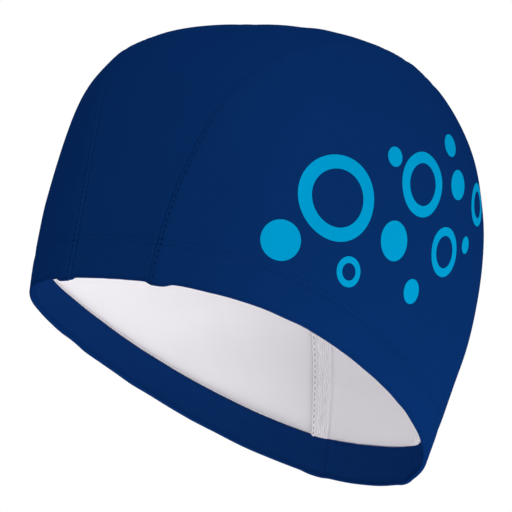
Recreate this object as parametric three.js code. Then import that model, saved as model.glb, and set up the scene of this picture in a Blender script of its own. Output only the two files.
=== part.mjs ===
// A fabric swim cap of three sewn panels, in millimetres.
// The front of the cap faces -Y, the crown is up, and the origin is the middle of the head opening.
import * as THREE from 'three';
import { mergeVertices } from 'three/addons/utils/BufferGeometryUtils.js';

// The filled cap
const height = 139.5;
const sideReach = 78;
const frontReach = 86;
const backReach = 115;
const rimWave = 1.5; // the rim rises this much at the sides and falls as much at the front and back

// The cloth and its hem
const wall = 1;
const hemDepth = 17;
const hemSlit = 0.3; // between the wall and the turned-in layer
const stitchLevel = 15.5; // the middle of the double row of hem stitches, above the rim
const stitchDent = 0.4;
const stitchDentSpread = 2;

// The seams between the centre panel and the side panels
const seamAtRim = 19.5; // from the middle of the cap to a seam
const seamTopAt = 0.943; // the share of the height where a seam's front and back halves meet, over the side
const seamGap = 0.3;
const allowanceWidth = 6.5;
const allowanceThickness = 1.2;
const allowanceClearance = 0.45;
const allowanceEnd = 1; // from the edge of the turned-in hem to the end of the allowance
const seamSwell = 0.6; // how far the allowance pushes the wall out
const frontSag = 1.8; // how much lower the rim is where the allowance is folded into the hem
const backSag = 0.6;
const sagPlace = 4; // the middle of the sag, outside the seam
const sagSpread = 4.6;
const sagFlatness = 4;

// How finely the cloth is divided
const hemShares = [0.7, 0.35, 0.1, 0];
const wallSteps = 16;
const foldSteps = 4;
const sideColumns = 30;
const centreColumns = 14;

// The outline towards each side: the level where it is widest as a share of the height, how far the rim is
// drawn in as a share of the reach, the two exponents of the curve above the widest level, which make its
// shoulder and its crown squarer, and how square the levels are on that half
const outline = {
  side: { reach: sideReach, widestAt: 0.465, drawnIn: 0.07, shoulder: 3.2, crown: 3 },
  front: { reach: frontReach, widestAt: 0.51, drawnIn: 0.1, shoulder: 2, crown: 2, square: 2.5 },
  back: { reach: backReach, widestAt: 0.305, drawnIn: -0.02, shoulder: 2, crown: 2, square: 2 },
};

// The seams on each half: the exponent by which they spread with the level, and the sag of the rim
const seams = new Map([
  [outline.front, { spread: 2, sag: frontSag }],
  [outline.back, { spread: 1.15, sag: backSag }],
]);

const foldRadius = wall + hemSlit / 2;
const middle = (reachAt(outline.front, 0) - reachAt(outline.back, 0)) / 2;

// How far the skin lies from the middle at a level.
function reachAt({ reach, widestAt, drawnIn, shoulder, crown }, level) {
  const widest = widestAt * height;
  const above = THREE.MathUtils.clamp((level - widest) / (height - widest), 0, 1);
  const below = THREE.MathUtils.clamp((widest - level) / widest, 0, 1);
  return reach * (1 - above ** shoulder) ** (1 / crown) * (1 - drawnIn * below ** 2);
}

// 1 on the skin, less inside it and more outside it.
function fullness(across, towardsBack, level) {
  const half = towardsBack < 0 ? outline.front : outline.back;
  const side = Math.abs(across) / reachAt(outline.side, level);
  const end = Math.abs(towardsBack) / reachAt(half, level);
  return side ** half.square + end ** half.square;
}

// The skin at a level, at an angle from the front as seen from the middle.
function levelPoint(angle, level) {
  const across = Math.sin(angle);
  const towardsBack = -Math.cos(angle);
  const { square } = towardsBack < 0 ? outline.front : outline.back;
  const distance = fullness(across, towardsBack, level) ** (-1 / square);
  return new THREE.Vector3(distance * across, middle + distance * towardsBack, level);
}

// The skin in a half-plane that turns about the line across the rim: lift is 0 at the front and pi at the back.
function archPoint(across, lift) {
  const along = new THREE.Vector2(-Math.cos(lift), Math.sin(lift));
  let inside = 0;
  let outside = frontReach + backReach + height;
  while (outside - inside > 1e-6) {
    const distance = (inside + outside) / 2;
    const level = distance * along.y;
    const isInside = level < height && fullness(across, distance * along.x, level) < 1;
    if (isInside) inside = distance;
    else outside = distance;
  }
  return new THREE.Vector3(across, middle + inside * along.x, inside * along.y);
}

// How far a seam lies from the middle of the cap at a level, on the front or the back half.
function seamHalfWidth(half, level) {
  const top = seamTopAt * height;
  const seamAtTop = reachAt(outline.side, top);
  return seamAtRim + (seamAtTop - seamAtRim) * (level / top) ** seams.get(half).spread;
}

// The level where a line that runs this far outside the seam turns from the front half to the back half.
function topLevel(inset) {
  let below = 0;
  let above = height;
  while (above - below > 1e-6) {
    const level = (below + above) / 2;
    const nearest = Math.min(seamHalfWidth(outline.front, level), seamHalfWidth(outline.back, level));
    if (nearest + inset < reachAt(outline.side, level)) below = level;
    else above = level;
  }
  return above;
}

// Where that line crosses a level, as its distances across and towards the back.
function seamPoint(half, level, inset) {
  const across = seamHalfWidth(half, level) + inset;
  const share = Math.min(1, across / reachAt(outline.side, level));
  const along = reachAt(half, level) * (1 - share ** half.square) ** (1 / half.square);
  return { across, towardsBack: half === outline.front ? -along : along };
}

function seamAngle(half, level, inset) {
  const { across, towardsBack } = seamPoint(half, level, inset);
  return Math.atan2(across, -towardsBack);
}

function seamLift(half, level, inset) {
  const { towardsBack } = seamPoint(half, level, inset);
  return Math.atan2(level, -towardsBack);
}

// A place in the cloth: a point of the skin, moved inwards by a depth and down by a drop, with the
// swell over the seam allowances, the dent of the hem stitches and the wave and sag of the rim.
function inCloth(surface, first, second, depth, drop = 0) {
  const step = 1e-4;
  const skin = surface(first, second);
  const alongFirst = surface(first + step, second).sub(surface(first - step, second));
  const alongSecond = surface(first, second + step).sub(surface(first, second - step));
  const outward = alongFirst.cross(alongSecond).normalize();
  const core = new THREE.Vector3(0, middle, height / 2);
  if (outward.dot(skin.clone().sub(core)) < 0) outward.negate();

  const half = skin.y < middle ? outline.front : outline.back;
  const fromSeam = Math.abs(skin.x) - seamHalfWidth(half, skin.z);
  const swell = seamSwell * bump(fromSeam - allowanceWidth / 2, allowanceWidth);
  const dent = stitchDent * bump(skin.z - stitchLevel, stitchDentSpread);
  const sagging = Math.exp(-(Math.abs((fromSeam - sagPlace) / sagSpread) ** sagFlatness));
  const sag = seams.get(half).sag * sagging * Math.max(0, 1 - skin.z / hemDepth) ** 2;
  const sideways = (Math.abs(skin.x) / reachAt(outline.side, skin.z)) ** half.square;
  const wave = rimWave * (2 * sideways - 1) * (1 - skin.z / height) ** 2;

  const place = skin.addScaledVector(outward, swell - dent - depth);
  place.z += wave - sag - drop;
  return place;
}

function bump(distance, spread) {
  return Math.exp(-((distance / spread) ** 2));
}

// The levels of the cloth from the top down to the fold at the rim.
function wallLevels(top) {
  const levels = [];
  for (let step = 0; step <= wallSteps; step += 1) {
    levels.push(hemDepth + (top - hemDepth) * Math.cos((step / wallSteps) * (Math.PI / 2)));
  }
  return [...levels, ...hemLevels().slice(1)];
}

function hemLevels() {
  return [1, ...hemShares].map((share) => foldRadius + share * (hemDepth - foldRadius));
}

// A panel's section from the top level down the wall, round the fold and up the turned-in hem. Each row
// gives a level with the depth and drop of the face that starts outside and of the face that starts inside.
function panelSection(top) {
  const foldMiddle = wall + hemSlit / 2;
  const rows = wallLevels(top).map((level) => ({ level, outer: [0, 0], inner: [wall, 0] }));
  for (let step = 1; step < foldSteps; step += 1) {
    const turn = (step / foldSteps) * Math.PI;
    const layer = (radius) => [foldMiddle - radius * Math.cos(turn), radius * Math.sin(turn)];
    rows.push({ level: foldRadius, outer: layer(foldRadius), inner: layer(hemSlit / 2) });
  }
  for (const level of hemLevels().reverse()) {
    rows.push({ level, outer: [foldMiddle + foldRadius, 0], inner: [foldMiddle + hemSlit / 2, 0] });
  }
  return rows;
}

// One closed body from the two faces of a cloth, each given as rows of points.
function closedBody(outer, inner) {
  const corners = [];
  const face = (...points) => {
    const [a, b, c, d] = points;
    for (const triangle of [[a, b, c], [a, c, d]]) {
      const sides = triangle.map((point, i) => point.distanceTo(triangle[(i + 1) % triangle.length]));
      if (Math.min(...sides) > 1e-3) corners.push(...triangle);
    }
  };
  const lastRow = outer.length - 1;
  const lastColumn = outer[0].length - 1;
  for (let i = 0; i < lastRow; i += 1) {
    for (let j = 0; j < lastColumn; j += 1) {
      face(outer[i][j], outer[i + 1][j], outer[i + 1][j + 1], outer[i][j + 1]);
      face(inner[i][j], inner[i][j + 1], inner[i + 1][j + 1], inner[i + 1][j]);
    }
    face(outer[i][0], inner[i][0], inner[i + 1][0], outer[i + 1][0]);
    face(outer[i][lastColumn], outer[i + 1][lastColumn], inner[i + 1][lastColumn], inner[i][lastColumn]);
  }
  for (let j = 0; j < lastColumn; j += 1) {
    face(outer[0][j], outer[0][j + 1], inner[0][j + 1], inner[0][j]);
    face(outer[lastRow][j], inner[lastRow][j], inner[lastRow][j + 1], outer[lastRow][j + 1]);
  }
  let volume = 0;
  for (let i = 0; i < corners.length; i += 3) {
    volume += corners[i].dot(corners[i + 1].clone().cross(corners[i + 2]));
  }
  if (volume < 0) corners.reverse();
  const geometry = mergeVertices(new THREE.BufferGeometry().setFromPoints(corners), 1e-3);
  geometry.computeVertexNormals();
  return geometry;
}

function mirrored(rows) {
  return rows.map((row) => row.map((point) => new THREE.Vector3(-point.x, point.y, point.z)));
}

// The side panel on +X, in rows along the rim that end at the front and back seams.
function sidePanelFaces() {
  const inset = seamGap / 2;
  const rows = panelSection(topLevel(inset));
  const faceOf = (layer) => rows.map((row) => {
    const front = seamAngle(outline.front, row.level, inset);
    const back = seamAngle(outline.back, row.level, inset);
    return evenly(sideColumns, (share) => {
      const angle = front + (back - front) * crowdedToEnds(share);
      return inCloth(levelPoint, angle, row.level, ...row[layer]);
    });
  });
  return [faceOf('outer'), faceOf('inner')];
}

// The centre panel, in rows across from seam to seam, from the hem at the front to the hem at the back.
function centrePanelFaces() {
  const inset = -seamGap / 2;
  const section = panelSection(topLevel(inset));
  const frontRows = section.map((row) => ({ ...row, half: outline.front })).reverse();
  const backRows = section.slice(1).map((row) => ({ ...row, half: outline.back }));
  const faceOf = (layer) => [...frontRows, ...backRows].map((row) => {
    const lift = seamLift(row.half, row.level, inset);
    const edge = seamHalfWidth(row.half, row.level) + inset;
    return evenly(centreColumns, (share) => {
      return inCloth(archPoint, edge * (2 * share - 1), lift, ...row[layer]);
    });
  });
  return [faceOf('outer'), faceOf('inner')];
}

// The allowance on +X: a flat band inside the side panel along its seam, which ends at the turned-in hems.
function allowanceFaces() {
  const top = topLevel(0);
  const end = hemDepth + allowanceEnd;
  const levels = wallLevels(top).filter((level) => level > end);
  levels.push(end);
  const stations = [
    ...levels.map((level) => ({ level, half: outline.front })).reverse(),
    ...levels.slice(1).map((level) => ({ level, half: outline.back })),
  ];
  const faceOf = (depth) => stations.map(({ level, half }) => {
    const lift = seamLift(half, level, 0);
    const near = seamHalfWidth(half, level) + seamGap;
    return evenly(3, (share) => inCloth(archPoint, near + share * allowanceWidth, lift, depth));
  });
  const near = wall + allowanceClearance;
  return [faceOf(near), faceOf(near + allowanceThickness)];
}

function evenly(steps, make) {
  return Array.from({ length: steps + 1 }, (_, i) => make(i / steps));
}

// A share from 0 to 1 that moves slowly near both ends.
function crowdedToEnds(share) {
  const crowding = 0.65;
  return share - (crowding * Math.sin(2 * Math.PI * share)) / (2 * Math.PI);
}

const outside = new THREE.MeshStandardMaterial({ color: 0x082b60, roughness: 0.55, metalness: 0 });
const inside = new THREE.MeshStandardMaterial({ color: 0xe4e2e6, roughness: 0.9, metalness: 0 });

function piece(name, faces, material) {
  const mesh = new THREE.Mesh(closedBody(...faces), material.clone());
  mesh.name = name;
  return mesh;
}

const swimCap = new THREE.Group();
swimCap.add(piece('centre_panel', centrePanelFaces(), outside));
swimCap.add(piece('left_side_panel', sidePanelFaces(), outside));
swimCap.add(piece('right_side_panel', sidePanelFaces().map(mirrored), outside));
swimCap.add(piece('left_seam_allowance', allowanceFaces(), inside));
swimCap.add(piece('right_seam_allowance', allowanceFaces().map(mirrored), inside));

export default swimCap;
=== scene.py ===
# %% [markdown]
# # A fabric swim cap
# The cap is three panels of coated knit: one strip over the crown and one panel on each side. The panels are
# sewn edge to edge, their edges are pressed flat inside, and the rim is turned in and stitched. The CAD model
# gives the sizes and the place. This lesson builds the cloth again, finely enough to show its seams, and adds
# the threads, the print and the finishes.

import math
from types import SimpleNamespace

import bmesh
import bpy
import numpy as np
from mathutils import Matrix, Vector


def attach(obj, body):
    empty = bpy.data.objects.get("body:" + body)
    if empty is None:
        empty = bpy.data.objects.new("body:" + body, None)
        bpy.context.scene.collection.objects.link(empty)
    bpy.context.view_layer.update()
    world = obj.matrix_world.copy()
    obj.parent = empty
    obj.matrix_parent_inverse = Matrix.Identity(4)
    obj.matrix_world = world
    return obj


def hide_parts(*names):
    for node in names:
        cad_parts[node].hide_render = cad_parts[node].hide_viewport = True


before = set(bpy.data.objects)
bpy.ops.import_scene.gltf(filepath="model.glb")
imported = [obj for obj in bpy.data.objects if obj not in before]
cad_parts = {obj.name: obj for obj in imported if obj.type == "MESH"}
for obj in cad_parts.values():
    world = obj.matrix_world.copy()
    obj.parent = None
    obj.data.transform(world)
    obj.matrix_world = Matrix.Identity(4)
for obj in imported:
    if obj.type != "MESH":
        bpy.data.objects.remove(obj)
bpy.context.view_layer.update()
MM = 0.001


def new_object(name, data):
    made = bpy.data.objects.new(name, data)
    bpy.context.scene.collection.objects.link(made)
    return made


# %% [markdown]
# ## The camera
# The cap is seen from below and from the front left of the wearer, so that the opening shows. A long lens far
# away gives the flat perspective of a product shot. The camera is also tilted about its own axis, and its
# three axes are worked out here from the angles, because that keeps each angle readable.

# %% Camera
LENS = 269.9
CAMERA_DISTANCE = 1.56
CAMERA_TURN = math.radians(40.76)  # from the front of the cap towards the side with the print
CAMERA_RISE = math.radians(-19.70)
CAMERA_TILT = math.radians(18.93)
AIM = Vector((-0.0063, -0.0116, 0.0517))


def make_camera():
    towards = Vector((
        math.sin(CAMERA_TURN) * math.cos(CAMERA_RISE),
        -math.cos(CAMERA_TURN) * math.cos(CAMERA_RISE),
        math.sin(CAMERA_RISE),
    ))
    level_right = Vector((0, 0, 1)).cross(towards).normalized()
    level_up = towards.cross(level_right)
    right = level_right * math.cos(CAMERA_TILT) + level_up * math.sin(CAMERA_TILT)
    up = towards.cross(right)
    data = bpy.data.cameras.new("camera")
    data.lens = LENS
    data.clip_end = 100
    camera = new_object("camera", data)
    camera.matrix_world = Matrix((right, up, towards)).transposed().to_4x4()
    camera.location = AIM + towards * CAMERA_DISTANCE
    bpy.context.scene.camera = camera


make_camera()

# %% [markdown]
# ## The studio
# A plain pale floor lies well below the cap, because the camera looks up at it. The light is soft and comes
# from all around, as in a light tent. One large lamp on the print's side makes the front a little darker than
# the side, and one under the opening lights the white inside.

# %% Studio
FLOOR_LEVEL = -0.62
FLOOR_RADIUS = 40
WORLD_STRENGTH = 1.0


def make_lamp(name, place, size, power):
    data = bpy.data.lights.new(name, "AREA")
    data.shape = "DISK"
    data.size = size
    data.energy = power
    lamp = new_object(name, data)
    lamp.location = place
    lamp.rotation_euler = (AIM - Vector(place)).to_track_quat("-Z", "Y").to_euler()
    lamp.visible_camera = False


def make_floor():
    builder = bmesh.new()
    bmesh.ops.create_circle(builder, cap_ends=True, segments=96, radius=FLOOR_RADIUS)
    bmesh.ops.translate(builder, verts=builder.verts, vec=(0, 0, FLOOR_LEVEL))
    mesh = bpy.data.meshes.new("floor")
    builder.to_mesh(mesh)
    builder.free()
    material = bpy.data.materials.new("studio_floor")
    material.use_nodes = True
    shader = material.node_tree.nodes["Principled BSDF"]
    shader.inputs["Base Color"].default_value = (0.86, 0.86, 0.87, 1)
    shader.inputs["Roughness"].default_value = 0.9
    mesh.materials.append(material)
    new_object("floor", mesh)


world = bpy.data.worlds.new("studio")
world.use_nodes = True
world.node_tree.nodes["Background"].inputs["Color"].default_value = (1, 1, 1, 1)
world.node_tree.nodes["Background"].inputs["Strength"].default_value = WORLD_STRENGTH
bpy.context.scene.world = world
bpy.context.scene.view_settings.view_transform = "Standard"
make_floor()
make_lamp("side_lamp", (1.8, -1.2, 0.8), 1.2, 25)
make_lamp("opening_lamp", (0.29, 0.31, -0.5), 0.4, 4.9)

# %% [markdown]
# ## The form of the cap
# A cap that a head fills is a dome whose levels are rounded ovals: squarer towards the forehead, rounder
# towards the nape. Each side of it swells from the rim to a widest level and then closes over the crown.
# One short formula holds all of this, so the same few sizes shape every piece, and the seams and threads can
# be laid on the cloth by asking the formula where it is.

# %% Sizes
HEIGHT = 139.5 * MM
RIM_WAVE = 1.5 * MM
WALL = 1 * MM
HEM_DEPTH = 17 * MM
HEM_SLIT = 0.3 * MM
FOLD_RADIUS = WALL + HEM_SLIT / 2
STITCH_LEVEL = 15.5 * MM
SEAM_AT_RIM = 19.5 * MM
SEAM_TOP = 0.943 * HEIGHT  # where the front and back halves of a seam meet, over the side
ALLOWANCE_WIDTH = 6.5 * MM
ALLOWANCE_THICKNESS = 1.2 * MM
ALLOWANCE_CLEARANCE = 0.45 * MM

OUTLINE = {
    "side": SimpleNamespace(reach=78 * MM, widest_at=0.465, drawn_in=0.07, shoulder=3.2, crown=3),
    "front": SimpleNamespace(reach=86 * MM, widest_at=0.51, drawn_in=0.1, shoulder=2, crown=2),
    "back": SimpleNamespace(reach=115 * MM, widest_at=0.305, drawn_in=-0.02, shoulder=2, crown=2),
}
SQUARENESS = {"front": 2.5, "back": 2}  # of the levels


def reach_at(side, level):
    """How far the skin lies from the middle at a level, towards one side."""
    shape = OUTLINE[side]
    widest = shape.widest_at * HEIGHT
    above = np.clip((level - widest) / (HEIGHT - widest), 0, 1)
    below = np.clip((widest - level) / widest, 0, 1)
    closing = np.maximum(1 - above**shape.shoulder, 0) ** (1 / shape.crown)
    return np.maximum(shape.reach * closing * (1 - shape.drawn_in * below**2), 1e-9)


MIDDLE = (reach_at("front", 0) - reach_at("back", 0)) / 2


def fullness(across, back, level):
    """1 on the skin, less inside it and more outside it."""
    squareness = np.where(back < 0, SQUARENESS["front"], SQUARENESS["back"])
    end = np.where(back < 0, reach_at("front", level), reach_at("back", level))
    return (np.abs(across) / reach_at("side", level)) ** squareness + (np.abs(back) / end) ** squareness


def level_point(angle, level):
    """The skin at a level, at an angle from the front."""
    across, back = np.sin(angle), -np.cos(angle)
    squareness = np.where(back < 0, SQUARENESS["front"], SQUARENESS["back"])
    distance = fullness(across, back, level) ** (-1 / squareness)
    return np.stack([distance * across, MIDDLE + distance * back, level + 0 * across], -1)


BEYOND_THE_CAP = 0.4
HALVINGS = 40


def arch_point(across, lift):
    """The skin in a half-plane about the line across the rim: lift is 0 in front and pi at the back."""
    back, up = -np.cos(lift), np.sin(lift)
    inside = np.zeros(np.broadcast(across, lift).shape)
    outside = inside + BEYOND_THE_CAP
    for _ in range(HALVINGS):
        distance = (inside + outside) / 2
        is_inside = (distance * up < HEIGHT) & (fullness(across, distance * back, distance * up) < 1)
        inside = np.where(is_inside, distance, inside)
        outside = np.where(is_inside, outside, distance)
    return np.stack([across + 0 * inside, MIDDLE + inside * back, inside * up], -1)


# %% [markdown]
# ## The seams
# Each seam starts beside the forehead, runs out over the side of the crown and comes down to the nape. On a
# level it is simply a distance from the middle, which grows with a power of the height: slowly at first in
# front, and almost evenly at the back. The two halves meet where that distance reaches the side of the dome.

# %% Seams
SEAM_AT_TOP = reach_at("side", SEAM_TOP)
SEAM_SPREAD = {"front": 2, "back": 1.15}


def seam_half_width(half, level):
    return SEAM_AT_RIM + (SEAM_AT_TOP - SEAM_AT_RIM) * (level / SEAM_TOP) ** SEAM_SPREAD[half]


def seam_point(half, level):
    """Where the seam crosses a level: its distances across and towards the back."""
    across = seam_half_width(half, level)
    share = np.minimum(across / reach_at("side", level), 1)
    share = np.where(level > SEAM_TOP - 1e-9, 1, share)
    along = reach_at(half, level) * (1 - share ** SQUARENESS[half]) ** (1 / SQUARENESS[half])
    return across, -along if half == "front" else along


def seam_angle(half, level):
    across, back = seam_point(half, level)
    return np.arctan2(across, -back)


def seam_lift(half, level):
    return np.arctan2(level, -seam_point(half, level)[1])


# %% [markdown]
# ## Relief
# What makes it cloth is small: the two folded edges roll into a valley at each seam, the pressed allowance
# lifts the panel beside it, the needle line presses a groove, and the thread pulls the cloth into faint
# puckers. Where the seam is caught in the hem, the rim hangs a little lower, and no rim or wall of cloth is
# quite even. The relief is a move along the cloth's own normal, worked out from how far a point is from the
# seam, from the rim and around the cap.

# %% Relief
SEAM_SWELL = 0.75 * MM
SEAM_VALLEY = 0.3 * MM
SEAM_VALLEY_SPREAD = 0.6 * MM
NEEDLE_LINE = 1.8 * MM  # from the seam, on the side panel
NEEDLE_GROOVE = 0.12 * MM
NEEDLE_GROOVE_SPREAD = 0.5 * MM
SEAM_SAG = {"front": 1.5 * MM, "back": 0.6 * MM}
SEAM_SAG_PLACE = 4 * MM  # the middle of the sag, outside the seam
SEAM_SAG_SPREAD = 4.6 * MM
HEM_DENT = 0.2 * MM
HEM_DENT_SPREAD = 2 * MM
PUCKER = 0.09 * MM
PUCKER_SPREAD = 6 * MM
PUCKER_PITCH = 7.4 * MM
RIM_RIPPLE = 0.08 * MM
RIPPLE_PITCH = 31 * MM
UNEVENNESS = 0.13 * MM
UNEVEN_PITCH = 47 * MM
UNEVEN_SLANT = 0.4
SECOND_WAVE = SimpleNamespace(height=0.6, length=0.61, start=1.3)
SEAM_RADIUS = 100 * MM  # roughly that of a seam's arch, to turn its angles into lengths
RIM_RADIUS = 90 * MM
PROBE = 1e-5  # the step that finds the skin's slope
SMALLEST_AREA = 1e-15


def bump(distance, spread):
    return np.exp(-((distance / spread) ** 2))


def ripples(along, pitch):
    """Two waves whose lengths don't share a measure, so that the sum looks irregular."""
    first = np.sin(2 * np.pi * along / pitch)
    second = np.sin(2 * np.pi * along / (SECOND_WAVE.length * pitch) + SECOND_WAVE.start)
    return first + SECOND_WAVE.height * second


def cloth(surface, first, second, depth=0.0, drop=0.0):
    """Points of the skin, moved inwards by a depth and down by a drop, with the relief."""
    first, second = np.broadcast_arrays(first, second)
    skin = surface(first, second)
    along_first = surface(first + PROBE, second) - surface(first - PROBE, second)
    along_second = surface(first, second + PROBE) - surface(first, second - PROBE)
    outward = np.cross(along_first, along_second)
    outward /= np.maximum(np.linalg.norm(outward, axis=-1, keepdims=True), SMALLEST_AREA)
    core = np.array([0, MIDDLE, HEIGHT / 2])
    outward *= np.where(((skin - core) * outward).sum(-1, keepdims=True) < 0, -1, 1)

    x, y, level = skin[..., 0], skin[..., 1], skin[..., 2]
    in_front = y < MIDDLE
    half_width = np.where(in_front, seam_half_width("front", level), seam_half_width("back", level))
    from_seam = np.abs(x) - half_width
    along_seam = np.arctan2(level, MIDDLE - y) * SEAM_RADIUS
    relief = SEAM_SWELL * bump(from_seam - ALLOWANCE_WIDTH / 2, ALLOWANCE_WIDTH)
    relief -= SEAM_VALLEY * bump(from_seam, SEAM_VALLEY_SPREAD)
    relief -= NEEDLE_GROOVE * bump(from_seam - NEEDLE_LINE, NEEDLE_GROOVE_SPREAD)
    relief += PUCKER * ripples(along_seam, PUCKER_PITCH) * bump(from_seam, PUCKER_SPREAD)
    relief -= HEM_DENT * bump(level - STITCH_LEVEL, HEM_DENT_SPREAD)

    around = np.arctan2(np.abs(x), MIDDLE - y) * RIM_RADIUS
    slanted = level + UNEVEN_SLANT * around
    relief += UNEVENNESS * ripples(around, UNEVEN_PITCH) * ripples(slanted, UNEVEN_PITCH)

    sagging = np.exp(-(((from_seam - SEAM_SAG_PLACE) / SEAM_SAG_SPREAD) ** 4))
    sag = np.where(in_front, SEAM_SAG["front"], SEAM_SAG["back"])
    sag = sag * sagging * np.maximum(0, 1 - level / HEM_DEPTH) ** 2
    squareness = np.where(in_front, SQUARENESS["front"], SQUARENESS["back"])
    sideways = (np.abs(x) / reach_at("side", level)) ** squareness
    wave = RIM_WAVE * (2 * sideways - 1) * (1 - level / HEIGHT) ** 2
    place = skin + outward * (relief - depth)[..., None]
    ripple = RIM_RIPPLE * ripples(around, RIPPLE_PITCH) * np.maximum(0, 1 - level / (2 * HEM_DEPTH)) ** 2
    place[..., 2] += wave + ripple - sag - drop
    return SimpleNamespace(
        place=place, outward=outward, from_seam=from_seam, level=level, above_rim=level
    )


# %% [markdown]
# ## Nodes from Python expressions
# Node trees are easier to read as formulas. A Wire wraps a socket, and each operator on it adds a Math node.
# Graph.add makes every other node: it applies the settings first, because they decide which sockets exist,
# and then fills the sockets with values or wires. Materials and Geometry Nodes both use it.

# %% Graph helper
class Wire:
    """A node's socket that Python's operators work on."""

    def __init__(self, graph, socket):
        self.graph = graph
        self.socket = socket

    def __getitem__(self, name):
        return Wire(self.graph, self.socket.node.outputs[name])

    def __add__(self, other):
        return self.graph.maths("ADD", self, other)

    def __sub__(self, other):
        return self.graph.maths("SUBTRACT", self, other)

    def __rsub__(self, other):
        return self.graph.maths("SUBTRACT", other, self)

    def __mul__(self, other):
        return self.graph.maths("MULTIPLY", self, other)

    def __truediv__(self, other):
        return self.graph.maths("DIVIDE", self, other)

    def __pow__(self, other):
        return self.graph.maths("POWER", self, other)

    def __abs__(self):
        return self.graph.maths("ABSOLUTE", self)

    __radd__ = __add__
    __rmul__ = __mul__


class Graph:
    """Adds nodes to a tree."""

    def __init__(self, tree):
        self.tree = tree

    def add(self, kind, settings=None, inputs=None):
        node = self.tree.nodes.new(kind)
        for name, value in (settings or {}).items():
            setattr(node, name, value)
        for name, value in (inputs or {}).items():
            self.fill(node.inputs[name], value)
        return Wire(self, node.outputs[0]) if node.outputs else node

    def fill(self, socket, value):
        if isinstance(value, Wire):
            self.tree.links.new(value.socket, socket)
        else:
            socket.default_value = value

    def maths(self, operation, *values):
        return self.add("ShaderNodeMath", {"operation": operation}, dict(enumerate(values)))

    def most(self, *values):
        return self.maths("MAXIMUM", *values)

    def clamped(self, value, low=0.0):
        return self.most(self.maths("MINIMUM", value, 1.0), low)


# %% [markdown]
# ## The knit
# The cap's cloth is a fine knit. Its columns of stitches, the wales, are about 0.45 mm apart, and each stitch
# is a small V. Outside, a thin elastic coat fills the stitches, so they show only as a soft grain with a low
# gloss. Inside, the bare yarn shows. Both finishes read the same pattern from the cloth's own UV map, in
# metres along the cloth, so that the wales follow the panel and not the room.

# %% Knit pattern
WALE = 0.45 * MM
COURSE = 0.38 * MM


def along_cloth(graph):
    cloth_map = graph.add("ShaderNodeUVMap", {"uv_map": "cloth"})
    return graph.add("ShaderNodeSeparateXYZ", inputs={0: cloth_map})


def knit_height(graph):
    """The height of the knit, from 0 in the grooves to 1 on the yarn."""
    split = along_cloth(graph)
    slant = graph.maths("PINGPONG", split["X"] / WALE, 0.5) * 2
    stitch = graph.maths("SINE", (split["Y"] / COURSE + slant * 0.5) * (2 * math.pi))
    return graph.maths("SQRT", slant) * (stitch * 0.25 + 0.75)


def mottle(graph, scale, detail=2.0):
    """Slow, soft variation from 0 to 1 over the cap."""
    place = graph.add("ShaderNodeTexCoord")["Object"]
    inputs = {"Vector": place, "Scale": scale, "Detail": detail}
    return graph.add("ShaderNodeTexNoise", {"noise_dimensions": "3D"}, inputs)


def line_mask(graph, distance, at, half_width):
    """1 on a line at a distance, falling to 0 at half_width beside it."""
    return graph.most(1 - abs(distance - at) / half_width, 0.0)


def new_finish(name):
    material = bpy.data.materials.new(name)
    material.use_nodes = True
    material.node_tree.nodes.clear()
    graph = Graph(material.node_tree)
    return material, graph


def finish_surface(graph, inputs):
    shader = graph.add("ShaderNodeBsdfPrincipled", inputs=inputs)
    graph.add("ShaderNodeOutputMaterial", inputs={"Surface": shader})


def mixed(graph, share, low, high):
    mix = graph.add("ShaderNodeMix", {"data_type": "RGBA"}, {0: share, 6: low, 7: high})
    return Wire(graph, mix.socket.node.outputs[2])


def attribute(graph, name):
    return graph.add("ShaderNodeAttribute", {"attribute_name": name})["Fac"]


# %% [markdown]
# ## Outside: coated knit
# The coat makes the navy cloth smooth and deep in colour, without the white edge shine of plastic. A small
# metallic share gives it a soft gloss in its own colour instead. The seam, the needle line beside it, the
# edge of the allowance pressing through, the gathers in the hem and the two rows of hem stitches are thin
# lines that catch less light. Their shade is painted into the colour as a deeper navy, and so is painted
# shade in the grooves of the knit and along the fold of the rim. The turned-in hem lies in shade, so painted
# light makes its navy lighter. The lines are drawn from two values stored on the cloth, the distance from the
# seam and the level above the rim, and feed both the colour and the bump.

# %% Coated knit
YARN_WHITE = (0.82, 0.805, 0.825, 1)
NAVY = (0.0020, 0.0200, 0.095, 1)
NAVY_SOFT = (0.0018, 0.0182, 0.087, 1)
# painted shade: a deeper navy for the lines, the fold of the rim and the knit's grooves
NAVY_PAINTED_SHADE = (0.0004, 0.0065, 0.036, 1)
NAVY_HEM_PAINTED_LIGHT = (0.0034, 0.0265, 0.124, 1)  # painted light: the turned-in hem lies in shade, so its navy is painted lighter
HEM_ROW_GAP = 2.2 * MM
ALLOWANCE_IMPRINT = ALLOWANCE_WIDTH + 1.2 * MM
GATHER_PITCH = 1.3 * MM  # the fine gathers in the hem, over the folded end of the allowance
GATHER_PLACE = 7 * MM
GATHER_SPREAD = 4 * MM
GATHER_HEIGHT = 0.9 * HEM_DEPTH
SEAM_FADES_FROM = 40 * MM
SEAM_FADES_TO = 115 * MM
SEAM_LEAST = 0.15  # what is left of a seam's lines at the crown
TOOTH_PITCH = 0.95 * MM
TOOTH_FOOT = 0.1 * MM
TOOTH_HEIGHT = 0.8 * MM
TOOTH_BLUR = 0.1 * MM
CREASE_HALF = 0.35 * MM  # half the width of a pressed crease
ROW_HALF = 0.3 * MM  # half the width of a stitched line
# how much painted shade each line, the fold and the knit's grooves add to the navy
PAINTED_SHADE_SHARES = SimpleNamespace(
    crease=0.6, needle=0.35, pressed=0.2, hem_row=0.25, gathers=0.35, fold=0.4, lines=0.85, grain=0.3
)
FOLD_SPREAD = 3 * MM  # width of the painted shade at the fold of the rim, and of the blend to the hem's navy
GLOSS_SHARE = 0.08
GLOSS_TINT = (0.02, 0.15, 0.5, 1)


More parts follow.
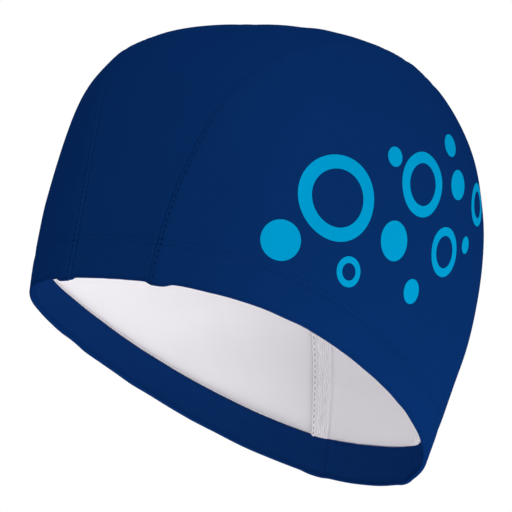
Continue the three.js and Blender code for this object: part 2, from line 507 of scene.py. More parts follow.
def seam_fading(graph, level):
    """How much of a seam's painted shade is kept: 1 low on the cap, falling towards the crown, where the
    cloth is flattest and its seams hardly show.
    """
    return graph.clamped((SEAM_FADES_TO - level) / (SEAM_FADES_TO - SEAM_FADES_FROM), SEAM_LEAST)


def raw_edge(graph, above_rim):
    """1 on the cut edge of the turned-in hem, where the knit's white loops show as small teeth."""
    teeth = graph.maths("PINGPONG", along_cloth(graph)["X"] / TOOTH_PITCH, 0.5) * 2
    above_teeth = -1 * above_rim - (HEM_DEPTH - (TOOTH_FOOT + TOOTH_HEIGHT * teeth))
    return graph.clamped(above_teeth / TOOTH_BLUR)


def make_coated_knit():
    material, graph = new_finish("coated_knit")
    from_seam = attribute(graph, "from_seam")
    above_rim = attribute(graph, "above_rim")
    crease = line_mask(graph, from_seam, 0.0, CREASE_HALF) * PAINTED_SHADE_SHARES.crease
    needle = line_mask(graph, from_seam, NEEDLE_LINE, ROW_HALF) * PAINTED_SHADE_SHARES.needle
    pressed = line_mask(graph, from_seam, ALLOWANCE_IMPRINT, CREASE_HALF) * PAINTED_SHADE_SHARES.pressed
    low_row = line_mask(graph, above_rim, STITCH_LEVEL - HEM_ROW_GAP / 2, ROW_HALF) * PAINTED_SHADE_SHARES.hem_row
    high_row = line_mask(graph, above_rim, STITCH_LEVEL + HEM_ROW_GAP / 2, ROW_HALF) * PAINTED_SHADE_SHARES.hem_row
    gathers = graph.maths("PINGPONG", from_seam / GATHER_PITCH, 0.5) * 2
    gathers = gathers**4 * line_mask(graph, from_seam, GATHER_PLACE, GATHER_SPREAD)
    gathers = gathers * line_mask(graph, above_rim, 0.0, GATHER_HEIGHT) * PAINTED_SHADE_SHARES.gathers
    seams = graph.most(graph.most(graph.most(crease, needle), pressed), gathers)
    lines = graph.most(seams * seam_fading(graph, above_rim), graph.most(low_row, high_row))
    cloudy = mottle(graph, 22.0)
    grain = knit_height(graph)
    # painted shade along the fold of the rim
    fold = line_mask(graph, above_rim, 0.0, FOLD_SPREAD) * PAINTED_SHADE_SHARES.fold
    # painted shade: the lines, the fold and the knit's grooves darken the navy
    lines_and_fold_shade = graph.most(lines * PAINTED_SHADE_SHARES.lines, fold)
    between = graph.most(lines_and_fold_shade, (1 - grain) * PAINTED_SHADE_SHARES.grain)
    # painted light: a lighter navy on the turned-in hem, which lies in shade
    turned_in = graph.clamped(-1 * above_rim / FOLD_SPREAD)
    navy = mixed(graph, turned_in, mixed(graph, cloudy, NAVY, NAVY_SOFT), NAVY_HEM_PAINTED_LIGHT)
    colour = mixed(graph, between, navy, NAVY_PAINTED_SHADE)
    colour = mixed(graph, raw_edge(graph, above_rim), colour, YARN_WHITE)
    height = grain * (0.04 * MM) - lines * (0.06 * MM)
    normal = graph.add("ShaderNodeBump", inputs={"Strength": 1.0, "Distance": 1.0, "Height": height})
    finish_surface(graph, {
        "Base Color": colour,
        "Roughness": cloudy * 0.1 + 0.45,
        "Normal": normal,
        "Metallic": GLOSS_SHARE,
        "Specular Tint": GLOSS_TINT,
        "Specular IOR Level": 0.0,
    })
    return material


coated_knit = make_coated_knit()

# %% [markdown]
# ## Inside: bare knit
# The back of the cloth is white yarn with no coat, so it is matte and its stitches are deeper. The cut edges
# in the seams are the same yarn, squeezed by the thread over them, with the thread's shade painted on them
# as a slightly greyer colour.

# %% Bare knit
YARN_SHADOW = (0.70, 0.68, 0.705, 1)
# painted shade: the band's yarn is greyer than the lining's under the thread
EDGE_GREY_PAINTED_SHADE = (0.79, 0.77, 0.795, 1)
EDGE_SHADOW = (0.68, 0.66, 0.685, 1)
RIDGE_WIDTH = 0.9 * MM
RIDGE_BLUR = 0.4 * MM
NO_RIDGE = -1.0


def make_bare_knit(name, white, shadow, stitch_depth, smooth_to):
    """A matte knit; up to smooth_to from the seam it is drawn tight and white."""
    material, graph = new_finish(name)
    tight = graph.clamped((smooth_to - attribute(graph, "from_seam")) / RIDGE_BLUR + 0.5)
    grain = knit_height(graph) * (1 - tight)
    colour = mixed(graph, grain * 0.6 + 0.4, shadow, white)
    colour = mixed(graph, tight, colour, YARN_WHITE)
    height = grain * stitch_depth
    normal = graph.add("ShaderNodeBump", inputs={"Strength": 0.8, "Distance": 1.0, "Height": height})
    finish_surface(graph, {
        "Base Color": colour,
        "Roughness": mottle(graph, 40.0) * 0.1 + 0.82,
        "Normal": normal,
        "Specular IOR Level": 0.2,
    })
    return material


bare_knit = make_bare_knit("bare_knit", YARN_WHITE, YARN_SHADOW, 0.04 * MM, NO_RIDGE)
edge_knit = make_bare_knit("edge_knit", EDGE_GREY_PAINTED_SHADE, EDGE_SHADOW, 0.06 * MM, RIDGE_WIDTH)

# %% [markdown]
# ## Threads and ink
# Sewing thread is twisted from fine filaments, which a slanted ripple along it suggests. The print is a thick
# screen ink that lies on the coat: an even cyan, a little glossier than the cloth.

# %% Thread and ink finishes
THREAD_TWIST = 0.35 * MM


def make_thread(name, colour, shadow, fades=False):
    """Twisted thread; one that fades, as the needle holes' painted shade does, turns navy towards the crown.
    """
    material, graph = new_finish(name)
    place = graph.add("ShaderNodeTexCoord")["Object"]
    split = graph.add("ShaderNodeSeparateXYZ", inputs={0: place})
    turn = (split["X"] + split["Y"] + split["Z"]) / THREAD_TWIST
    twist = graph.maths("SINE", turn * (2 * math.pi)) * 0.5 + 0.5
    normal = graph.add("ShaderNodeBump", inputs={"Distance": 1.0, "Height": twist * (0.03 * MM)})
    colours = mixed(graph, twist, shadow, colour)
    if fades:
        colours = mixed(graph, seam_fading(graph, split["Z"]), NAVY, colours)
    finish_surface(graph, {
        "Base Color": colours,
        "Roughness": twist * 0.1 + 0.6,
        "Normal": normal,
        "Specular IOR Level": 0.0,
    })
    return material


def make_print_ink():
    material, graph = new_finish("print_ink")
    cloudy = mottle(graph, 900.0, 3.0)
    colour = mixed(graph, cloudy * 0.3, (0.0, 0.20, 0.38, 1), (0.0, 0.18, 0.345, 1))
    normal = graph.add("ShaderNodeBump", inputs={"Distance": 1.0, "Height": cloudy * (0.02 * MM)})
    finish_surface(graph, {
        "Base Color": colour,
        "Roughness": cloudy * 0.12 + 0.38,
        "Normal": normal,
        "Metallic": GLOSS_SHARE,
        "Specular Tint": (0.0, 0.5, 1.0, 1),
        "Specular IOR Level": 0.0,
    })
    return material


navy_thread = make_thread("navy_thread", (0.0005, 0.009, 0.05, 1), (0.0003, 0.005, 0.028, 1))
# painted shade: near-black beads that stand for the shade in the needle holes
needle_shade = make_thread("needle_shade", (0.0001, 0.002, 0.012, 1), (0.0001, 0.001, 0.006, 1), fades=True)
white_thread = make_thread("white_thread", (0.96, 0.95, 0.96, 1), (0.89, 0.87, 0.89, 1))
# painted shade: grey beads for the shade in the gaps beside the overlock chain
gap_shade = make_thread("gap_shade", (0.62, 0.60, 0.63, 1), (0.52, 0.50, 0.53, 1))
print_ink = make_print_ink()

# %% [markdown]
# ## Cloth from two faces
# A panel could be a thin sheet with Solidify, but its hem folds back on itself with the colour on the outside
# of the fold. So each panel is made as two grids of points, the face that starts outside and the face that
# starts inside, joined at their edges into one closed body. The grids also give the UV map, measured along
# the cloth from its middle, and the two values that the finishes read.

# %% Cloth body
def lengths_from_middle(places, axis):
    """The distance along the middle line of a grid of points, from its middle."""
    line = np.take(places, places.shape[1 - axis] // 2, axis=1 - axis)
    steps = np.linalg.norm(np.diff(line, axis=0), axis=1)
    along = np.concatenate([[0], np.cumsum(steps)])
    return along - along[len(along) // 2]


def row_lengths(places):
    """The distance along each row of a grid of points, from the row's middle."""
    steps = np.linalg.norm(np.diff(places, axis=1), axis=2)
    along = np.concatenate([np.zeros((len(places), 1)), np.cumsum(steps, axis=1)], axis=1)
    return along - along[:, [along.shape[1] // 2]]


def cloth_body(name, outer, inner, finishes, mirrored=False, is_round=False):
    """A closed body from the cloth's two faces; the outer face takes the first finish. A round one has its
    last column on its first."""
    rows, columns = outer.level.shape
    places = np.concatenate([outer.place.reshape(-1, 3), inner.place.reshape(-1, 3)])
    if mirrored:
        places = places * (-1, 1, 1)
    index = np.arange(rows * columns).reshape(rows, columns)
    under = index + rows * columns

    def quads(a, b, c, d):
        return np.stack([a, b, c, d], -1).reshape(-1, 4)

    outside = quads(index[:-1, :-1], index[1:, :-1], index[1:, 1:], index[:-1, 1:])
    inside = quads(under[:-1, :-1], under[:-1, 1:], under[1:, 1:], under[1:, :-1])
    row_ends = [
        quads(index[:-1, 0], under[:-1, 0], under[1:, 0], index[1:, 0]),
        quads(index[:-1, -1], index[1:, -1], under[1:, -1], under[:-1, -1]),
    ]
    edges = np.concatenate([
        quads(index[0, :-1], index[0, 1:], under[0, 1:], under[0, :-1]),
        quads(index[-1, :-1], under[-1, :-1], under[-1, 1:], index[-1, 1:]),
        *([] if is_round else row_ends),
    ])
    faces = np.concatenate([outside, inside, edges])
    finish = np.concatenate([np.zeros(len(outside)), np.ones(len(inside) + len(edges))]).astype(int)
    corners = places[faces]
    volume = (corners[:, 0] * np.cross(corners[:, 1], corners[:, 2])).sum()
    volume += (corners[:, 0] * np.cross(corners[:, 2], corners[:, 3])).sum()
    if volume < 0:
        faces = faces[:, ::-1]

    mesh = bpy.data.meshes.new(name)
    mesh.from_pydata(places, [], faces)
    for material in finishes:
        mesh.materials.append(material)
    mesh.polygons.foreach_set("material_index", finish)
    along = lengths_from_middle(outer.place, 0)[:, None] + 0 * outer.level
    uv = np.stack([row_lengths(outer.place), along], -1)
    uv = np.concatenate([uv.reshape(-1, 2)] * 2)
    loops = np.zeros(len(mesh.loops), int)
    mesh.loops.foreach_get("vertex_index", loops)
    mesh.uv_layers.new(name="cloth").data.foreach_set("uv", uv[loops].ravel())
    for label in ("from_seam", "above_rim"):
        values = [getattr(face, label).ravel() for face in (outer, inner)]
        values = np.concatenate(values).astype(np.float32)
        mesh.attributes.new(label, "FLOAT", "POINT").data.foreach_set("value", values)
    builder = bmesh.new()
    builder.from_mesh(mesh)
    bmesh.ops.remove_doubles(builder, verts=builder.verts, dist=1e-7)
    builder.to_mesh(mesh)
    builder.free()
    mesh.polygons.foreach_set("use_smooth", np.ones(len(mesh.polygons), bool))
    mesh.set_sharp_from_angle(angle=math.radians(50))
    print(name, "has", len(mesh.polygons), "faces")
    return new_object(name, mesh)


# %% [markdown]
# ## The panels
# A panel's section runs down the wall, round the fold at the rim and up the turned-in hem. The side panels
# are laid in rows along the rim, from the front seam to the back seam, and close to a point where the seams
# are highest. The centre panel is laid in rows across, from hem to hem over the crown, with each row in a
# half-plane, because level rows would shrink to nothing at the crown. The columns crowd towards the seams,
# where the relief is.

# %% Panel sections
WALL_STEPS = 90
HEM_STEPS = 14
FOLD_STEPS = 10
EDGE_STEPS = 6
HEM_EDGE_ROUNDING = 0.8 * MM  # the turned-in edge is pressed onto the lining
HEM_EDGE_PRESS = 0.8  # the share of the slit that it closes
LEAST_STEP = 0.2 * MM
SIDE_COLUMNS = 150
SIDE_CROWDING = 2.2
CENTRE_COLUMNS = 110
CENTRE_CROWDING = 2.0


def panel_section():
    """Rows from the seam's top down the wall, round the fold and up the turned-in hem. Each has its level and
    the depth and drop of the outer and the inner face; on the turned-in hem, above_rim is negative."""
    falling = np.cos(np.linspace(0, np.pi / 2, WALL_STEPS + 1))
    wall_levels = HEM_DEPTH + (SEAM_TOP - HEM_DEPTH) * falling
    hem_levels = np.linspace(HEM_DEPTH, FOLD_RADIUS, HEM_STEPS + 1)
    middle = WALL + HEM_SLIT / 2
    rows = []
    for level in np.concatenate([wall_levels, hem_levels[1:]]):
        rows.append(SimpleNamespace(level=level, outer=(0, 0), inner=(WALL, 0), above_rim=level))
    for turn in np.linspace(0, np.pi, FOLD_STEPS + 1)[1:-1]:
        outer = (middle - FOLD_RADIUS * np.cos(turn), FOLD_RADIUS * np.sin(turn))
        inner = (middle - HEM_SLIT / 2 * np.cos(turn), HEM_SLIT / 2 * np.sin(turn))
        rows.append(SimpleNamespace(level=FOLD_RADIUS, outer=outer, inner=inner, above_rim=0))
    edge_levels = HEM_DEPTH - HEM_EDGE_ROUNDING * np.linspace(2, 0, EDGE_STEPS + 1)
    flat_levels = hem_levels[hem_levels < edge_levels[0] - LEAST_STEP]
    for level in np.concatenate([flat_levels[::-1], edge_levels]):
        pressed = bump(level - HEM_DEPTH, HEM_EDGE_ROUNDING)
        outer = middle + FOLD_RADIUS - (WALL + HEM_SLIT / 2) * pressed
        inner = middle + HEM_SLIT / 2 - HEM_SLIT * HEM_EDGE_PRESS * pressed
        rows.append(SimpleNamespace(level=level, outer=(outer, 0), inner=(inner, 0), above_rim=-level))
    return rows


def crowded(columns, crowding):
    """Shares from 0 to 1 that crowd towards both ends."""
    share = np.linspace(-1, 1, columns + 1)
    return (1 + np.tanh(crowding * share) / np.tanh(crowding)) / 2


def column(rows, value):
    return np.array([value(row) for row in rows], float)[:, None]


def panel_face(surface, first, second, rows, layer):
    depth = column(rows, lambda row: getattr(row, layer)[0])
    drop = column(rows, lambda row: getattr(row, layer)[1])
    face = cloth(surface, first, second, depth, drop)
    face.above_rim = column(rows, lambda row: row.above_rim) + 0 * face.level
    return face


def side_panel_faces():
    rows = panel_section()
    level = column(rows, lambda row: row.level)
    front, back = seam_angle("front", level), seam_angle("back", level)
    angle = front + (back - front) * crowded(SIDE_COLUMNS, SIDE_CROWDING)[None, :]
    level = level + 0 * angle
    return [panel_face(level_point, angle, level, rows, layer) for layer in ("outer", "inner")]


def centre_panel_faces():
    section = panel_section()
    halves = [("front", section[::-1]), ("back", section[1:])]
    lift, half_width = [], []
    for half, rows in halves:
        level = column(rows, lambda row: row.level)
        lift.append(seam_lift(half, level))
        half_width.append(seam_half_width(half, level))
    share = crowded(CENTRE_COLUMNS, CENTRE_CROWDING)[None, :]
    across = np.concatenate(half_width) * (2 * share - 1)
    lift = np.concatenate(lift) + 0 * across
    rows = section[::-1] + section[1:]
    return [panel_face(arch_point, across, lift, rows, layer) for layer in ("outer", "inner")]


# %% Panels
two_faced = [coated_knit, bare_knit]
side_faces = side_panel_faces()
left_panel = cloth_body("left_side_cloth", *side_faces, two_faced)
right_panel = cloth_body("right_side_cloth", *side_faces, two_faced, mirrored=True)
centre_panel = cloth_body("centre_cloth", *centre_panel_faces(), two_faced)

# %% [markdown]
# ## The seam allowances
# Inside, the two raw edges of each seam are overlocked together and pressed flat against the side panel. The
# band is thickest at the seam, where both cloths fold back, and thins to its cut edge. Its end is caught in
# the turned-in hem.

# %% Seam allowances
BAND_STEPS = 16
BAND_START = -0.5 * MM
BAND_SHARE_THICK = 0.2  # the ridge along the seam, as a share of the band's width
BAND_SINK = 0.15 * MM  # its edge at the seam goes into the cloth
BAND_FLAT = 0.62  # its thickness beside the ridge, as a share of the allowance's
BAND_RIDGE = 0.1
BAND_CORNERS = 12  # the higher, the squarer its edges
BAND_LEAST = 0.05


def seam_stations(lowest, steps=WALL_STEPS):
    """Lifts and half widths along a seam, from the front over the crown to the back."""
    falling = np.cos(np.linspace(0, np.pi / 2, steps + 1))
    levels = lowest + (SEAM_TOP - lowest) * falling
    lift = np.concatenate([seam_lift("front", levels)[::-1], seam_lift("back", levels[1:])])
    front, back = seam_half_width("front", levels)[::-1], seam_half_width("back", levels[1:])
    return lift, np.concatenate([front, back])


def band_faces():
    lift, half_width = seam_stations(HEM_DEPTH - 1 * MM)
    share = np.linspace(0, 1, BAND_STEPS + 1)[None, :]
    across = half_width[:, None] + BAND_START + share * (ALLOWANCE_WIDTH - BAND_START)
    near = WALL + ALLOWANCE_CLEARANCE - (ALLOWANCE_CLEARANCE + BAND_SINK) * bump(share, BAND_SHARE_THICK)
    ridge = BAND_FLAT + BAND_RIDGE * bump(share, BAND_SHARE_THICK)
    rounding = np.sqrt(np.maximum(1 - (2 * share - 1) ** BAND_CORNERS, BAND_LEAST))
    rounding *= np.sin(np.pi / 2 * np.minimum(share / BAND_SHARE_THICK, 1))
    lift = lift[:, None] + 0 * across
    outer = cloth(arch_point, across, lift, near + 0 * across)
    far = WALL + ALLOWANCE_CLEARANCE + ALLOWANCE_THICKNESS * ridge
    inner = cloth(arch_point, across, lift, near + (far - near) * rounding)
    return outer, inner


band_outer, band_inner = band_faces()
left_band = cloth_body("left_seam_band", band_outer, band_inner, [edge_knit, edge_knit])
right_band = cloth_body("right_seam_band", band_outer, band_inner, [edge_knit, edge_knit], mirrored=True)

# %% [markdown]
# ## Threads that follow a path
# Stitches repeat along a line, so Geometry Nodes place them. A path is a row of points on the cloth with the
# cloth's outward direction stored on each. The tree turns it into a curve, puts a point at every pitch, turns
# each point so that X runs along the seam and Z out of the cloth, and sets a copy of one stitch there.

# %% Stitch trees
def new_stitch_tree(name, sizes):
    tree = bpy.data.node_groups.new(name, "GeometryNodeTree")
    tree.interface.new_socket("Geometry", in_out="OUTPUT", socket_type="NodeSocketGeometry")
    tree.interface.new_socket("Geometry", in_out="INPUT", socket_type="NodeSocketGeometry")
    for label, value in sizes.items():
        kind = "NodeSocketInt" if isinstance(value, int) else "NodeSocketFloat"
        tree.interface.new_socket(label, in_out="INPUT", socket_type=kind).default_value = value
    graph = Graph(tree)
    return tree, graph, graph.add("NodeGroupInput")


SLIP_SEED = 17  # so that a stitch's slip has nothing to do with its size


def random_value(graph, number, seed):
    """A random value from -1 to 1 for each stitch."""
    inputs = {"Min": -1.0, "Max": 1.0, "ID": number, "Seed": seed}
    drawn = graph.add("FunctionNodeRandomValue", {"data_type": "FLOAT"}, inputs)
    return Wire(graph, drawn.socket.node.outputs[1])


def place_stitches(graph, given, stitch, material):
    """Copies of a stitch along the path, each turned a little and resized a little at random."""
    curve = graph.add("GeometryNodeMeshToCurve", inputs={"Mesh": given["Geometry"]})
    points = graph.add(
        "GeometryNodeResampleCurve", {"mode": "LENGTH"}, {"Curve": curve, "Length": given["Pitch"]}
    )
    outward = graph.add(
        "GeometryNodeInputNamedAttribute", {"data_type": "FLOAT_VECTOR"}, {"Name": "outward"}
    )
    tangent = graph.add("GeometryNodeInputTangent")
    number = graph.add("GeometryNodeInputIndex")
    slide = random_value(graph, number, given["Seed"] + SLIP_SEED) * given["Slip"]
    slipped = graph.add("ShaderNodeVectorMath", {"operation": "SCALE"}, {0: tangent, "Scale": slide})
    points = graph.add("GeometryNodeSetPosition", inputs={"Geometry": points, "Offset": slipped})
    turned = graph.add(
        "FunctionNodeAxesToRotation",
        {"primary_axis": "Z", "secondary_axis": "X"},
        {"Primary Axis": outward, "Secondary Axis": tangent},
    )
    side = graph.maths("MODULO", number, 2.0) * 2 - 1
    jitter = random_value(graph, number, given["Seed"])
    lean = side * given["Lean"] + jitter * given["Lean jitter"]
    about_z = graph.add("ShaderNodeCombineXYZ", inputs={"Z": lean})
    spin = graph.add("FunctionNodeEulerToRotation", inputs={"Euler": about_z})
    rotation = graph.add(
        "FunctionNodeRotateRotation", {"rotation_space": "LOCAL"}, {"Rotation": turned, "Rotate By": spin}
    )
    size = 1 + jitter * given["Size jitter"]
    copies = graph.add(
        "GeometryNodeInstanceOnPoints",
        inputs={"Points": points, "Instance": stitch, "Rotation": rotation, "Scale": size},
    )
    solid = graph.add("GeometryNodeRealizeInstances", inputs={"Geometry": copies})
    smooth = graph.add("GeometryNodeSetShadeSmooth", inputs={"Geometry": solid})
    finished = graph.add("GeometryNodeSetMaterial", inputs={"Geometry": smooth, "Material": material})
    graph.add("NodeGroupOutput", inputs={"Geometry": finished})


COMMON = {"Pitch": 2.5 * MM, "Lean": 0.0, "Lean jitter": 0.0, "Size jitter": 0.0, "Slip": 0.0, "Seed": 1}
THREAD_SIDES = 5
LOOP_STEPS = 12
STRAND_STEPS = 6


def circle(graph, steps, radius):
    inputs = {"Resolution": steps, "Radius": radius}
    return graph.add("GeometryNodeCurvePrimitiveCircle", {"mode": "RADIUS"}, inputs)


def straight_stitch_tree(name, material):
    """A short straight stitch: a long bead that lies along the path."""
    sizes = {**COMMON, "Length": 2 * MM, "Width": 0.3 * MM, "Rise": 0.2 * MM}
    tree, graph, given = new_stitch_tree(name, sizes)
    bead = graph.add("GeometryNodeMeshUVSphere", inputs={"Segments": 8, "Rings": 6, "Radius": 0.5})
    scale = graph.add(
        "ShaderNodeCombineXYZ", inputs={"X": given["Length"], "Y": given["Width"], "Z": given["Rise"]}
    )
    stitch = graph.add("GeometryNodeTransform", inputs={"Geometry": bead, "Scale": scale})
    place_stitches(graph, given, stitch, material)
    return tree


def loop_stitch_tree(name, material):
    """A loop of thread that lies flat on the cloth."""
    sizes = {**COMMON, "Length": 2 * MM, "Width": 1.2 * MM, "Thread": 0.3 * MM}
    tree, graph, given = new_stitch_tree(name, sizes)
    ring = circle(graph, LOOP_STEPS, 0.5)
    scale = graph.add("ShaderNodeCombineXYZ", inputs={"X": given["Length"], "Y": given["Width"], "Z": 1.0})
    oval = graph.add("GeometryNodeTransform", inputs={"Geometry": ring, "Scale": scale})
    thread = circle(graph, THREAD_SIDES, given["Thread"] * 0.5)
    stitch = graph.add("GeometryNodeCurveToMesh", inputs={"Curve": oval, "Profile Curve": thread})
    place_stitches(graph, given, stitch, material)
    return tree


def bowed_stitch_tree(name, material):
    """A strand that bows out of the cloth between its ends."""
    sizes = {**COMMON, "Length": 4 * MM, "Rise": 0.5 * MM, "Thread": 0.35 * MM}
    tree, graph, given = new_stitch_tree(name, sizes)
    start = graph.add("ShaderNodeCombineXYZ", inputs={"X": given["Length"] * -0.5})
    top = graph.add("ShaderNodeCombineXYZ", inputs={"Z": given["Rise"] * 2})
    end = graph.add("ShaderNodeCombineXYZ", inputs={"X": given["Length"] * 0.5})
    strand = graph.add(
        "GeometryNodeCurveQuadraticBezier",
        inputs={"Resolution": STRAND_STEPS, "Start": start, "Middle": top, "End": end},
    )
    thread = circle(graph, THREAD_SIDES, given["Thread"] * 0.5)
    stitch = graph.add(
        "GeometryNodeCurveToMesh", inputs={"Curve": strand, "Profile Curve": thread, "Fill Caps": True}
    )
    place_stitches(graph, given, stitch, material)
    return tree


# %% [markdown]
# A tree works on an object with the path as its mesh. The sizes go in by each socket's identifier. The result
# is copied out as a plain mesh, and the path is removed, so that only solid thread is left for the model.

# %% Sewing
def path_object(name, spots, closed=False):
    """A row of points on the cloth, with the cloth's outward direction on each."""
    count = len(spots.place)
    links = [(i, i + 1) for i in range(count - 1)]
    if closed:
        links.append((count - 1, 0))
    mesh = bpy.data.meshes.new(name)
    mesh.from_pydata(spots.place, links, [])
    outward = mesh.attributes.new("outward", "FLOAT_VECTOR", "POINT")
    outward.data.foreach_set("vector", spots.outward.astype(np.float32).ravel())
    return new_object(name, mesh)


def sew(name, tree, paths, sizes):
    """Runs a stitch tree along each path and joins the threads into one piece."""
    bpy.context.view_layer.update()
    builder = bmesh.new()
    for path in paths:
        modifier = path.modifiers.new("stitches", "NODES")
        modifier.node_group = tree
        for socket in tree.interface.items_tree:
            if socket.in_out == "INPUT" and socket.name in sizes:
                modifier[socket.identifier] = sizes[socket.name]
        depsgraph = bpy.context.evaluated_depsgraph_get()
        made = bpy.data.meshes.new_from_object(path.evaluated_get(depsgraph))
        builder.from_mesh(made)
        finishes = list(made.materials)
        bpy.data.meshes.remove(made)
        bpy.data.objects.remove(path)
    mesh = bpy.data.meshes.new(name)
    builder.to_mesh(mesh)
    builder.free()
    for material in finishes:
        mesh.materials.append(material)
    print(name, "has", len(mesh.polygons), "faces")
    return new_object(name, mesh)


def flipped(spots):
    """The same path on the other side of the cap."""
    mirror = np.array([-1, 1, 1])
    return SimpleNamespace(place=spots.place * mirror, outward=spots.outward * mirror)


SEAM_POINTS = 200  # on each half of it
RIM_POINTS = 720


def facing_in(spots):
    return SimpleNamespace(place=spots.place, outward=-spots.outward)


def seam_path(from_seam, depth, lowest):
    lift, half_width = seam_stations(lowest, SEAM_POINTS)
    return cloth(arch_point, half_width + from_seam, lift, depth + 0 * lift)


def rim_path(level, depth):
    angle = np.linspace(0, 2 * np.pi, RIM_POINTS, endpoint=False)
    return cloth(level_point, angle, level + 0 * angle, depth + 0 * angle)


straight_navy = straight_stitch_tree("navy_stitches", navy_thread)
straight_shade = straight_stitch_tree("needle_dots", needle_shade)
straight_gap_shade = straight_stitch_tree("gap_shade_beads", gap_shade)
straight_white = straight_stitch_tree("white_stitches", white_thread)
loop_white = loop_stitch_tree("white_loops", white_thread)
bowed_white = bowed_stitch_tree("white_strands", white_thread)

# %% [markdown]
# ## Stitches outside
# Beside each seam a row of stitches holds the allowance down. The thread is pulled deep into the stretch
# cloth, so only a row of dark points shows: beads of painted shade, darker than the thread, stand for the
# needle holes. The hem is held by two rows of fine stitches in the cloth's navy.

# %% Outside stitches
NEEDLE_DEPTH = 0.02 * MM
HEM_STITCH_DEPTH = 0.08 * MM


def both_sides(name, spots):
    return [path_object(f"left_{name}", spots), path_object(f"right_{name}", flipped(spots))]


needle_marks = sew(
    "seam_needle_marks",
    straight_shade,
    both_sides("needle_path", seam_path(NEEDLE_LINE, NEEDLE_DEPTH, FOLD_RADIUS)),
    {"Pitch": 2.5 * MM, "Length": 0.95 * MM, "Width": 0.5 * MM, "Rise": 0.24 * MM, "Size jitter": 0.15},
)
hem_paths = [
    path_object(f"hem_path_{i}", rim_path(level, HEM_STITCH_DEPTH), closed=True)
    for i, level in enumerate([STITCH_LEVEL - HEM_ROW_GAP / 2, STITCH_LEVEL + HEM_ROW_GAP / 2])
]
hem_stitches = sew(
    "hem_stitches",
    straight_navy,
    hem_paths,
    {"Pitch": 2.3 * MM, "Length": 1.8 * MM, "Width": 0.22 * MM, "Rise": 0.24 * MM, "Size jitter": 0.08},
)

# %% [markdown]
# ## Overlock threads inside
# The overlock wraps the raw edges: a chain of loops runs along the cut edge, and slack strands zigzag over
# the band between the chain and the seam. Each strand leans the other way from its neighbour.

# %% Overlock threads
BAND_SURFACE = WALL + ALLOWANCE_CLEARANCE + ALLOWANCE_THICKNESS * BAND_FLAT
BAND_LOW = HEM_DEPTH + 0.2 * MM
CHAIN_LINE = ALLOWANCE_WIDTH - 0.7 * MM


def inside_paths(name, from_seam, depth, start=0.0):
    return both_sides(name, facing_in(seam_path(from_seam, depth, BAND_LOW + start)))


chain = sew(
    "overlock_chain",
    loop_white,
    inside_paths("chain_path", CHAIN_LINE, BAND_SURFACE + 0.05 * MM),
    {"Pitch": 2.5 * MM, "Length": 2.35 * MM, "Width": 1.25 * MM, "Thread": 0.5 * MM, "Size jitter": 0.05},
)
# Grey beads beside the chain are painted shade in the gaps between its loops and the strands.
chain_shade = sew(
    "overlock_chain_gap_shade",
    straight_gap_shade,
    inside_paths("gap_path", CHAIN_LINE, BAND_SURFACE + 0.02 * MM),
    {"Pitch": 2.5 * MM, "Length": 1.5 * MM, "Width": 0.55 * MM, "Rise": 0.2 * MM, "Size jitter": 0.1},
)
STRAND_ROWS = {  # each row's distance from the seam, and how far up the band it starts
    1.2 * MM: 0.4 * MM,
    1.95 * MM: 2.1 * MM,
    2.7 * MM: 0.9 * MM,
    3.45 * MM: 2.6 * MM,
    4.2 * MM: 1.5 * MM,
}
STRAND_SINK = 0.15 * MM  # the ends of a strand dive into the band
strand_paths = []
for i, (row, start) in enumerate(STRAND_ROWS.items()):
    strand_paths += inside_paths(f"strand_path_{i}", row, BAND_SURFACE - STRAND_SINK, start)
strands = sew(
    "overlock_strands",
    bowed_white,
    strand_paths,
    {
        "Pitch": 3.3 * MM, "Length": 3.9 * MM, "Rise": 0.3 * MM, "Thread": 0.46 * MM,
        "Lean": 0.17, "Lean jitter": 0.1, "Size jitter": 0.15, "Slip": 0.5 * MM, "Seed": 4,
    },
)

# %% [markdown]
# ## The hem's cut edge
# The turned-in edge of the knit is cut and left raw, and its last row of white loops shows as fine teeth
# along the top of the navy band.

# %% Hem edge loops
hem_edge_spots = facing_in(rim_path(HEM_DEPTH - 0.6 * MM, 1.6 * WALL + HEM_SLIT / 2))
hem_edge = sew(
    "hem_edge_loops",
    straight_white,
    [path_object("hem_edge_path", hem_edge_spots, closed=True)],
    {
        "Pitch": TOOTH_PITCH, "Length": 1.2 * MM, "Width": 0.45 * MM, "Rise": 0.3 * MM,
        "Lean": math.pi / 2, "Lean jitter": 0.15, "Size jitter": 0.3, "Seed": 7,
    },
)

# %% [markdown]
# ## The print
# The side panel carries a large one-colour print. This one is a plain cluster of bubbles: discs and rings,
# each a thin film of ink that lies on the cloth. A film is a polar grid around its centre, measured along
# the cloth, so a circle stays a circle on the curved panel.

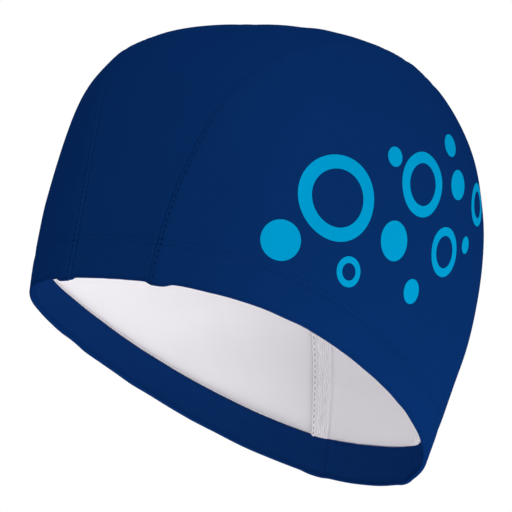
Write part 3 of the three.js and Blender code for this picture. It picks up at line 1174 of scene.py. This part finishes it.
# %% Print
PRINT_THICKNESS = 0.12 * MM
PRINT_SINK = 0.03 * MM
RING_STEPS = 96
BUBBLES = [
    # angle from the front in degrees, level, outer radius and inner radius in mm
    SimpleNamespace(angle=57, level=52, outer=17, inner=11.5),
    SimpleNamespace(angle=46, level=27, outer=8, inner=0),
    SimpleNamespace(angle=84, level=78, outer=13, inner=8.5),
    SimpleNamespace(angle=80, level=50, outer=8, inner=0),
    SimpleNamespace(angle=104, level=62, outer=10, inner=6.5),
    SimpleNamespace(angle=101, level=90, outer=6, inner=0),
    SimpleNamespace(angle=118, level=93, outer=8.5, inner=5.3),
    SimpleNamespace(angle=93, level=102, outer=4.5, inner=0),
    SimpleNamespace(angle=70, level=80, outer=4, inner=0),
    SimpleNamespace(angle=95, level=38, outer=5, inner=0),
    SimpleNamespace(angle=68, level=28, outer=6, inner=3.4),
    SimpleNamespace(angle=115, level=73, outer=3.5, inner=0),
]


def bubble_film(bubble):
    """The outer and inner faces of one film, as rings of points from the rim of the shape inwards."""
    radii = np.linspace(bubble.outer, bubble.inner, 6 if bubble.inner else 8) * MM
    turn = np.linspace(0, 2 * np.pi, RING_STEPS + 1)
    centre = level_point(math.radians(bubble.angle), bubble.level * MM)
    girth = math.hypot(centre[0], centre[1] - MIDDLE)
    angle = math.radians(bubble.angle) + radii[:, None] * np.cos(turn) / girth
    level = bubble.level * MM + radii[:, None] * np.sin(turn)
    outer = cloth(level_point, angle, level, -PRINT_THICKNESS + 0 * angle)
    inner = cloth(level_point, angle, level, PRINT_SINK + 0 * angle)
    return outer, inner


def make_print():
    inks = [print_ink, print_ink]
    films = [cloth_body(f"bubble_{i}", *bubble_film(b), inks, is_round=True) for i, b in enumerate(BUBBLES)]
    builder = bmesh.new()
    for film in films:
        builder.from_mesh(film.data)
        bpy.data.objects.remove(film)
    bmesh.ops.remove_doubles(builder, verts=builder.verts, dist=1e-6)
    mesh = bpy.data.meshes.new("side_print")
    builder.to_mesh(mesh)
    builder.free()
    mesh.materials.append(print_ink)
    return new_object("side_print", mesh)


side_print = make_print()

# %% [markdown]
# ## Joining the frame
# Every piece rides on the cap's one body, and the cloth pieces stand for their CAD solids. The panels are
# worn stretched, so each was cut a little smaller than it measures here.

# %% Frame
pieces = [left_panel, right_panel, centre_panel, left_band, right_band]
threads = [needle_marks, hem_stitches, chain, chain_shade, strands, hem_edge]
for piece in pieces + threads + [side_print]:
    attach(piece, "root")
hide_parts("left_side_panel")
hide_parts("right_side_panel")
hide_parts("centre_panel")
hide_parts("left_seam_allowance")
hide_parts("right_seam_allowance")
